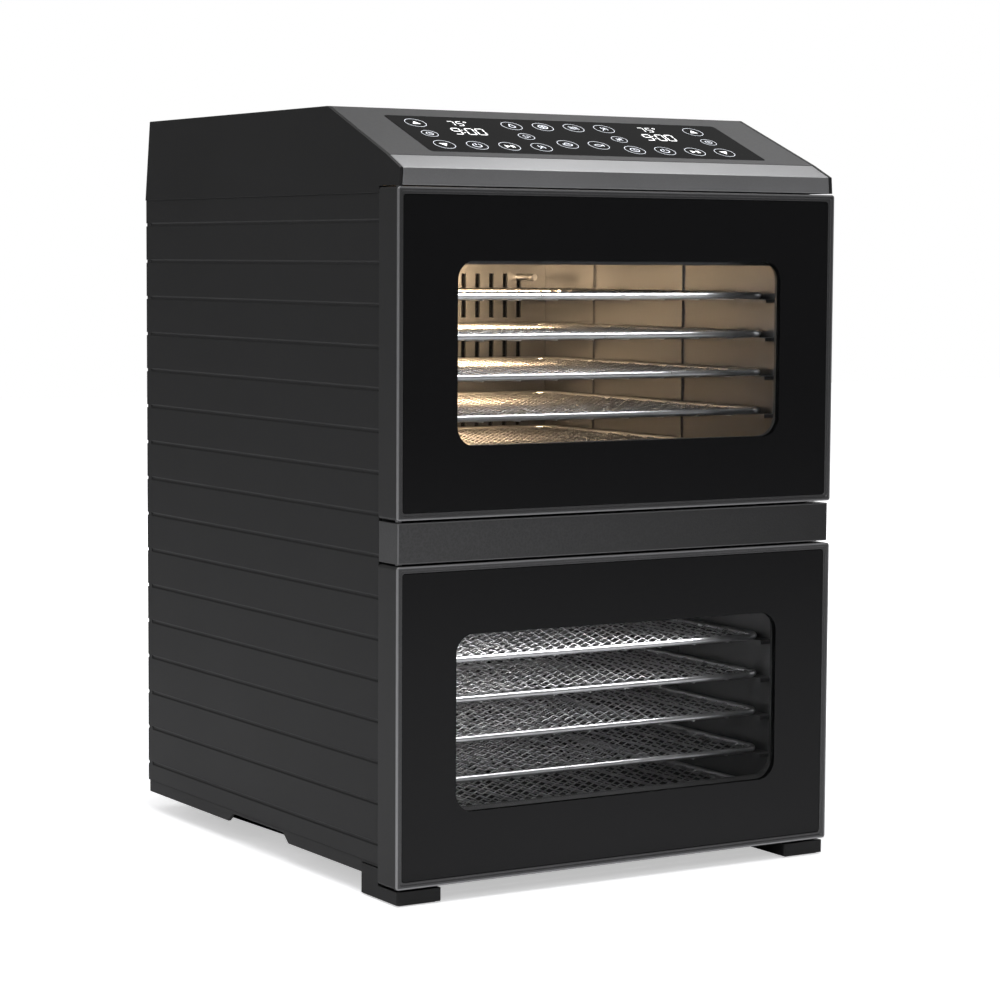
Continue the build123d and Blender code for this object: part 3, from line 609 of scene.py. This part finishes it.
# ---- touch panel marks ----
def glass_plane():
    """A matrix with its origin mid-glass, X across, Y up the slope, Z out."""
    node = frame["nodes"]["control_glass"]
    face = max((f for f in node.data.polygons if f.normal.z > 0.5), key=lambda f: f.area)
    normal = face.normal.normalized()
    low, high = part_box("control_glass")
    middle = (low + high) / 2
    on_face = node.data.vertices[face.vertices[0]].co
    middle = middle + normal * (on_face - middle).dot(normal)
    across = Vector((1, 0, 0))
    up = normal.cross(across)
    matrix = Matrix((across, up, normal)).transposed().to_4x4()
    matrix.translation = middle
    return matrix


def star(count, first, reach):
    """Lines through the middle, evenly turned, each as its two ends."""
    lines = []
    for turn in range(count):
        angle = math.radians(first + turn * 180 / count)
        x, y = reach * math.cos(angle), reach * math.sin(angle)
        lines.append([(-x, -y), (x, y)])
    return lines


def ripple(level):
    """One wavy line at a height within the sign."""
    return [((i - 4) * 0.12, level + 0.07 * math.sin(i * 1.5)) for i in range(9)]


def blades(count, offset, radius):
    """Curved fan blades round the middle, as arcs."""
    arcs = []
    for turn in range(count):
        degrees = turn * 360 / count
        angle = math.radians(degrees)
        hub = (offset * math.cos(angle), offset * math.sin(angle))
        arcs.append(("arc", hub, radius, 0.09, degrees - 60, degrees + 150, 8))
    return arcs


# Each sign is a list of strokes in units of its ring's radius: a filled outline, a path
# with its width, or an arc with its centre, radius, width, first and last angle and steps.
SIGNS = {
    "up": [("fill", [(-0.42, -0.3), (0.42, -0.3), (0.0, 0.42)])],
    "down": [("fill", [(-0.42, 0.3), (0.0, -0.42), (0.42, 0.3)])],
    "power": [("arc", (0.0, 0.0), 0.42, 0.1, 125, 415, 16), ("path", [(0.0, 0.1), (0.0, 0.55)], 0.11)],
    "run": [
        ("fill", [(-0.42, -0.32), (0.1, 0.0), (-0.42, 0.32)]),
        ("path", [(0.24, -0.3), (0.24, 0.3)], 0.1),
        ("path", [(0.44, -0.3), (0.44, 0.3)], 0.1),
    ],
    "drop": [
        ("arc", (0.0, -0.12), 0.3, 0.09, 150, 390, 14),
        ("path", [(-0.26, 0.0), (0.0, 0.52), (0.26, 0.0)], 0.09),
    ],
    "leaf": [
        ("arc", (-0.2, -0.1), 0.52, 0.09, -20, 62, 9),
        ("arc", (0.34, 0.3), 0.52, 0.09, 160, 242, 9),
        ("path", [(-0.34, -0.42), (0.2, 0.26)], 0.08),
    ],
    "slice": [
        ("arc", (0.0, 0.0), 0.46, 0.09, 0, 360, 18),
        *(("path", line, 0.07) for line in star(3, 15, 0.4)),
    ],
    "bowl": [
        ("arc", (0.0, 0.08), 0.46, 0.09, 180, 360, 12),
        ("path", [(-0.52, 0.08), (0.52, 0.08)], 0.09),
        ("arc", (0.0, 0.12), 0.26, 0.08, 0, 180, 8),
    ],
    "waves": [("path", ripple(level), 0.08) for level in (-0.26, 0.0, 0.26)],
    "clock": [
        ("arc", (0.0, 0.0), 0.44, 0.09, 0, 360, 18),
        ("path", [(0.0, 0.3), (0.0, 0.0), (0.2, -0.1)], 0.09),
    ],
    "fan": blades(3, 0.25, 0.22),
    "fish": [
        ("arc", (-0.05, -0.28), 0.5, 0.09, 40, 140, 9),
        ("arc", (-0.05, 0.28), 0.5, 0.09, 220, 320, 9),
        ("path", [(0.33, 0.0), (0.52, 0.2), (0.52, -0.2), (0.33, 0.0)], 0.08),
    ],
    "swap": [
        ("path", [(-0.34, 0.36), (0.34, -0.36)], 0.1),
        ("arc", (-0.24, -0.2), 0.17, 0.09, 0, 360, 10),
        ("arc", (0.24, 0.2), 0.17, 0.09, 0, 360, 10),
    ],
}
BRIGHT_SIGNS = ("up", "down", "run")
LEAN = 0.12                   # of the figures, as a share of their height
GAP = 0.06                    # between a figure's segments, as a share of its size
SEGMENTS = {
    "a": ((GAP, 1), (1 - GAP, 1)), "b": ((1, 1 - GAP), (1, 0.5 + GAP)),
    "c": ((1, 0.5 - GAP), (1, GAP)), "d": ((GAP, 0), (1 - GAP, 0)),
    "e": ((0, 0.5 - GAP), (0, GAP)), "f": ((0, 1 - GAP), (0, 0.5 + GAP)),
    "g": ((GAP, 0.5), (1 - GAP, 0.5)),
}
FIGURES = {"0": "abcdef", "5": "afgcd", "7": "abc", "9": "abcdfg"}


def digit(marks, figure, corner, tall, width):
    """A seven-segment figure, leaning a little to the right."""
    wide = tall * 0.5

    def at(u, v):
        return (corner[0] + u * wide + LEAN * v * tall, corner[1] + v * tall)

    for name in FIGURES[figure]:
        start, end = SEGMENTS[name]
        marks.line(at(*start), at(*end), width)


def display(marks, x):
    """Two rows of figures about x: a temperature over a time."""
    for offset, figure in TEMPERATURE:
        digit(marks, figure, (x + offset, TEMPERATURE_BASE), TEMPERATURE_TALL, TEMPERATURE_LINE)
    degree = (x + DEGREE_OFFSET, TEMPERATURE_BASE + DEGREE_RISE)
    marks.arc(degree, DEGREE_RADIUS, DEGREE_RADIUS / 2, 0, 360, 12)
    for offset, figure in TIME:
        digit(marks, figure, (x + offset, TIME_BASE), TIME_TALL, TIME_LINE)
    for rise in COLON_RISES:
        marks.arc((x - COLON_OFFSET, rise), COLON_RADIUS, COLON_LINE, 0, 360, 8)


def touch_marks():
    """Lit rings, signs and figures on the touch glass."""
    plane = glass_plane()
    marks = Strokes(plane, MARK_HEIGHT)
    bright = Strokes(plane, MARK_HEIGHT)
    for column, level, radius, sign in TOUCH_KEYS:
        centre = (FIRST_KEY + column * KEY_PITCH, level * KEY_ROW)
        marks.arc(centre, radius, RING_LINE)
        (bright if sign in BRIGHT_SIGNS else marks).sign(SIGNS[sign], centre, radius)
    mesh = marks.mesh("touch_marks", glow("mark_glow", (0.9, 0.93, 1.0), 0.62))
    piece("touch_marks", mesh, "cabinet")

    for x in DISPLAYS:
        display(bright, x)
    mesh = bright.mesh("display_figures", glow("figure_glow", (1.0, 1.0, 1.0), 1.0))
    piece("display_figures", mesh, "cabinet")


# ---- trays: rim rod, support wires and woven mesh, by geometry nodes ----
def tray_tree():
    """A tree with named inputs that lays out one tray about its own centre."""
    tree = bpy.data.node_groups.new("woven_tray", "GeometryNodeTree")
    tree.interface.new_socket("Tray", in_out="OUTPUT", socket_type="NodeSocketGeometry")
    sizes = (
        "Width", "Depth", "Rod", "Corner", "Pitch", "Cross Pitch", "Bend Pitch", "Crimp",
        "Wire", "Long Wire", "Stay Pitch", "Stay",
    )
    for name in sizes:
        tree.interface.new_socket(name, in_out="INPUT", socket_type="NodeSocketFloat")
    tree.interface.new_socket("Finish", in_out="INPUT", socket_type="NodeSocketMaterial")
    graph = Graph(tree)
    entry = tree.nodes.new("NodeGroupInput")
    given = {socket.name: Field(graph, socket) for socket in entry.outputs if socket.name}

    def circle(radius, sides):
        inputs = {"Resolution": sides, "Radius": radius}
        return graph.node("GeometryNodeCurvePrimitiveCircle", {"mode": "RADIUS"}, inputs)

    def tube(curve, radius, sides):
        inputs = {"Curve": curve, "Profile Curve": circle(radius, sides), "Fill Caps": True}
        return graph.node("GeometryNodeCurveToMesh", inputs=inputs)

    def vector(x=0.0, y=0.0, z=0.0):
        return graph.node("ShaderNodeCombineXYZ", inputs={0: x, 1: y, 2: z})

    def rim():
        frame_curve = graph.node(
            "GeometryNodeCurvePrimitiveQuadrilateral",
            inputs={"Width": given["Width"], "Height": given["Depth"]},
        )
        rounded = graph.node(
            "GeometryNodeFilletCurve",
            {"mode": "POLY"},
            {"Curve": frame_curve, "Count": CORNER_STEPS, "Radius": given["Corner"]},
        )
        return tube(rounded, given["Rod"] * 0.5, RIM_SIDES)

    def wires(length, span, pitch, bend_pitch, radius, sides, crimp, drop, along_x):
        """Parallel wires, shortened towards the rim's round corners."""
        half = span * 0.5
        count = (span / pitch).math("FLOOR") - 1.0
        gap = span / (count + 1.0)
        bends = (length / bend_pitch).math("FLOOR")
        line = graph.node(
            "GeometryNodeCurvePrimitiveLine",
            inputs={"Start": vector(length * -0.5), "End": vector(length * 0.5)},
        )
        line = graph.node("GeometryNodeResampleCurve", inputs={"Curve": line, "Count": bends + 1.0})
        row = graph.node(
            "GeometryNodeMeshLine",
            inputs={"Count": count, "Start Location": vector(0.0, gap - half), "Offset": vector(0.0, gap)},
        )
        order = graph.node("GeometryNodeInputIndex")
        flip = order.math("MODULO", 2.0) * 2.0 - 1.0
        many = graph.node("GeometryNodeInstanceOnPoints", inputs={"Points": row, "Instance": line})
        stored = graph.node(
            "GeometryNodeStoreNamedAttribute",
            {"data_type": "FLOAT", "domain": "INSTANCE"},
            {"Geometry": many, "Name": "flip", "Value": flip},
        )
        real = graph.node("GeometryNodeRealizeInstances", inputs={0: stored})
        spot = graph.node("GeometryNodeInputPosition")
        split = graph.node("ShaderNodeSeparateXYZ", inputs={0: spot}).socket.node
        x, y = Field(graph, split.outputs["X"]), Field(graph, split.outputs["Y"])
        corner = given["Corner"]
        past = (abs(y) - (half - corner)).math("MAXIMUM", 0.0).math("MINIMUM", corner)
        short = corner - (corner * corner - past * past).math("SQRT")
        share = 1.0 - short / (length * 0.5)
        bend = ((x / length + 0.5) * bends).math("ROUND").math("MODULO", 2.0) * 2.0 - 1.0
        row_flip = graph.node("GeometryNodeInputNamedAttribute", {"data_type": "FLOAT"}, {"Name": "flip"})
        lift = bend * row_flip * crimp - drop
        place = vector(x * share, y, lift) if along_x else vector(y, x * share, lift)
        laid = graph.node("GeometryNodeSetPosition", inputs={"Geometry": real, "Position": place})
        return tube(laid, radius, sides)

    join = tree.nodes.new("GeometryNodeJoinGeometry")
    width, depth, crimp = given["Width"], given["Depth"], given["Crimp"]
    cross_pitch, stay_pitch = given["Cross Pitch"], given["Stay Pitch"]
    cross_radius, long_radius = given["Wire"] * 0.5, given["Long Wire"] * 0.5
    stay_radius, stay_drop = given["Stay"] * 0.5, given["Rod"] * 0.5
    long_crimp = crimp * LONG_CRIMP
    parts = [
        rim(),
        wires(width, depth, cross_pitch, given["Bend Pitch"], cross_radius, CROSS_SIDES, crimp, 0.0, True),
        wires(depth, width, given["Pitch"], cross_pitch, long_radius, LONG_SIDES, long_crimp, 0.0, False),
        wires(depth, width, stay_pitch, stay_pitch, stay_radius, STAY_SIDES, 0.0, stay_drop, False),
    ]
    for part in parts:
        tree.links.new(part.socket, join.inputs[0])
    whole = graph.node("GeometryNodeRealizeInstances", inputs={0: Field(graph, join.outputs[0])})
    painted = graph.node("GeometryNodeSetMaterial", inputs={"Geometry": whole, "Material": given["Finish"]})
    leave = tree.nodes.new("NodeGroupOutput")
    tree.links.new(painted.socket, leave.inputs[0])
    return tree


def grown(tree, values, name, matrix):
    """The mesh that a geometry tree gives for these input values."""
    holder = bpy.data.objects.new(name, bpy.data.meshes.new(name))
    bpy.context.scene.collection.objects.link(holder)
    modifier = holder.modifiers.new("grow", "NODES")
    modifier.node_group = tree
    for item in tree.interface.items_tree:
        if item.in_out == "INPUT" and item.name in values:
            modifier[item.identifier] = values[item.name]
    bpy.context.view_layer.update()
    evaluated = holder.evaluated_get(bpy.context.evaluated_depsgraph_get())
    mesh = bpy.data.meshes.new_from_object(evaluated)
    mesh.name = name
    bpy.data.objects.remove(holder)
    mesh.transform(matrix)
    return mesh


def trays():
    tree = tray_tree()
    for zone in CHAMBERS:
        for number in range(1, TRAYS_PER_CHAMBER + 1):
            node = f"tray_{zone}_{number}"
            low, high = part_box(node)
            values = {
                "Width": high.x - low.x - ROD,
                "Depth": high.y - low.y - ROD,
                "Rod": ROD,
                "Corner": TRAY_CORNER,
                "Pitch": WEAVE_PITCH,
                "Cross Pitch": CROSS_PITCH,
                "Bend Pitch": BEND_PITCH,
                "Crimp": CRIMP,
                "Long Wire": LONG_WIRE,
                "Wire": WIRE,
                "Stay Pitch": STAY_PITCH,
                "Stay": STAY,
                "Finish": FINISHES["tray_steel"],
            }
            mesh = grown(tree, values, f"wire_{node}", Matrix.Translation((low + high) / 2))
            for face in mesh.polygons:
                face.use_smooth = True
            piece(f"wire_{node}", mesh, node, [node])


# ======================= stage, lights and camera =======================
FLOOR_REACH = 6.0
FADE_REACH = 0.65                     # from the middle of the floor to half faded
FADE_SOFT = 0.4
NEAR_GLOW = 0.5                       # of the floor round the object
ROOM_GLOW = 0.17                      # of the room, as the object sees it


def stage_finish(name, tone):
    """White sweep: it keeps a soft shadow near the object and fades to white."""
    finish = Finish(name, grey(tone), 0.6, Emission_Strength=1.0)
    finish.set("Base Color", finish.tone(finish.noise(3.0, 2.0), grey(tone * 0.985), grey(tone)))
    x, y = finish.axis("X"), finish.axis("Y")
    reach = (x * x + y * y).math("SQRT")
    seen = finish.node("ShaderNodeLightPath", output="Is Camera Ray")
    fade = reach.above(FADE_REACH, FADE_SOFT).span(NEAR_GLOW, 1.0) * seen
    finish.set("Emission Color", finish.tone(fade, (0.0, 0.0, 0.0), (1.0, 1.0, 1.0)))
    return finish.material


def stage():
    mesh = bpy.data.meshes.new("floor")
    reach = FLOOR_REACH
    corners = [(-reach, -reach, 0), (reach, -reach, 0), (reach, reach, 0), (-reach, reach, 0)]
    mesh.from_pydata(corners, [], [(0, 1, 2, 3)])
    mesh.materials.append(stage_finish("floor_white", 0.93))
    floor = bpy.data.objects.new("floor", mesh)
    bpy.context.scene.collection.objects.link(floor)


def world():
    """Bright backdrop to the eye, a dim even room to the object."""
    made = bpy.data.worlds.new("studio")
    bpy.context.scene.world = made
    made.use_nodes = True
    graph = Graph(made.node_tree)
    made.node_tree.nodes.clear()
    seen = graph.node("ShaderNodeLightPath", output="Is Camera Ray")
    strength = seen.span(ROOM_GLOW, 1.0)
    background = graph.node("ShaderNodeBackground", inputs={"Color": (1, 1, 1, 1), "Strength": strength})
    output = made.node_tree.nodes.new("ShaderNodeOutputWorld")
    made.node_tree.links.new(background.socket, output.inputs[0])


def softbox(name, place, target, size, power, colour=(1, 1, 1)):
    light = bpy.data.lights.new(name, "AREA")
    light.shape = "RECTANGLE"
    light.size, light.size_y = size
    light.energy = power
    light.color = colour
    lamp = bpy.data.objects.new(name, light)
    bpy.context.scene.collection.objects.link(lamp)
    lamp.location = place
    lamp.rotation_euler = (Vector(target) - Vector(place)).to_track_quat("-Z", "Y").to_euler()


# Softboxes of the room: name, place, target (None is the middle of the object), size, power.
ROOM_LIGHTS = (
    ("overhead", (-0.5, -0.5, 2.3), None, (1.8, 1.4), 34),
    ("rear_right", (1.2, 0.35, 2.4), (0.0, -0.15, 0.5), (1.2, 0.7), 13),
    ("left_fill", (-2.3, -0.5, 1.5), None, (0.9, 1.4), 11),
    ("front_fill", (-1.0, -2.7, 2.0), None, (1.2, 0.8), 16),
    ("back_fill", (1.5, 2.2, 1.0), None, (1.2, 0.9), 9),
)
# Lamps of a chamber: power and colour at the back, power just behind the door.
CHAMBER_LIGHTS = {
    "upper": (3.6, (1.0, 0.70, 0.40), 0.36),
    "lower": (0.22, (1.0, 0.97, 0.93), 0.2),
}
BACK_LAMP = (0.24, 0.05)
BACK_LAMP_X = -0.02
BACK_LAMP_AHEAD = 0.11                # in front of the air guide
BACK_LAMP_DROP = 3 * MM               # under the chamber's ceiling
BACK_AIM_DROP = 0.1
FRONT_LAMP = (0.26, 0.008)
FRONT_LAMP_AHEAD = 6 * MM             # in front of the trays
FRONT_LAMP_DROP = 2 * MM
FRONT_AIM_BEHIND = 0.02               # behind the trays' front rods
FRONT_AIM_DROP = 0.14
AIM_X = -0.03


def lights():
    low, high = CAD_BOUNDS
    middle = (Vector(low) + Vector(high)) / 2
    for name, place, target, size, power in ROOM_LIGHTS:
        softbox(name, place, target or middle, size, power)
    for zone, (power, colour, front_power) in CHAMBER_LIGHTS.items():
        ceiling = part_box(f"chamber_ceiling_{zone}")[0].z
        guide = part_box(f"air_guide_{zone}")[0].y
        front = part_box(f"tray_{zone}_{TRAYS_PER_CHAMBER}")[0].y
        place = (BACK_LAMP_X, guide - BACK_LAMP_AHEAD, ceiling - BACK_LAMP_DROP)
        target = (AIM_X, guide, ceiling - BACK_AIM_DROP)
        softbox(f"chamber_lamp_{zone}", place, target, BACK_LAMP, power, colour)
        place = (AIM_X, front - FRONT_LAMP_AHEAD, ceiling - FRONT_LAMP_DROP)
        target = (AIM_X, front + FRONT_AIM_BEHIND, ceiling - FRONT_AIM_DROP)
        softbox(f"door_lamp_{zone}", place, target, FRONT_LAMP, front_power)


SENSOR = 36.0                         # in millimetres, as is the lens
LENS = 103.68
TURN = math.radians(-31.51)           # round the upright, from straight ahead
RISE = math.radians(4.78)
ROLL = math.radians(0.33)
EYE_X = -1.0654
EYE_AHEAD = 1.5807                    # in front of the upper door
EYE_Z = 0.4144
NEAREST = 0.05


def camera():
    """Long lens, from the left and a little above."""
    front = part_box("door_frame_upper")[0].y
    data = bpy.data.cameras.new("camera")
    data.sensor_width = SENSOR
    data.lens = LENS
    data.clip_start = NEAREST
    view = bpy.data.objects.new("camera", data)
    bpy.context.scene.collection.objects.link(view)
    level = math.cos(RISE)
    back = Vector((math.sin(TURN) * level, -math.cos(TURN) * level, math.sin(RISE)))
    right = Vector((math.cos(TURN), math.sin(TURN), 0.0))
    up = back.cross(right)
    rolled_right = right * math.cos(ROLL) + up * math.sin(ROLL)
    rolled_up = up * math.cos(ROLL) - right * math.sin(ROLL)
    matrix = Matrix((rolled_right, rolled_up, back)).transposed().to_4x4()
    matrix.translation = Vector((EYE_X, front - EYE_AHEAD, EYE_Z))
    view.matrix_world = matrix
    bpy.context.scene.camera = view


bpy.context.scene.view_settings.view_transform = "Standard"
paint_cad_nodes()
eased_pieces()
touch_marks()
trays()
stage()
world()
lights()
camera()
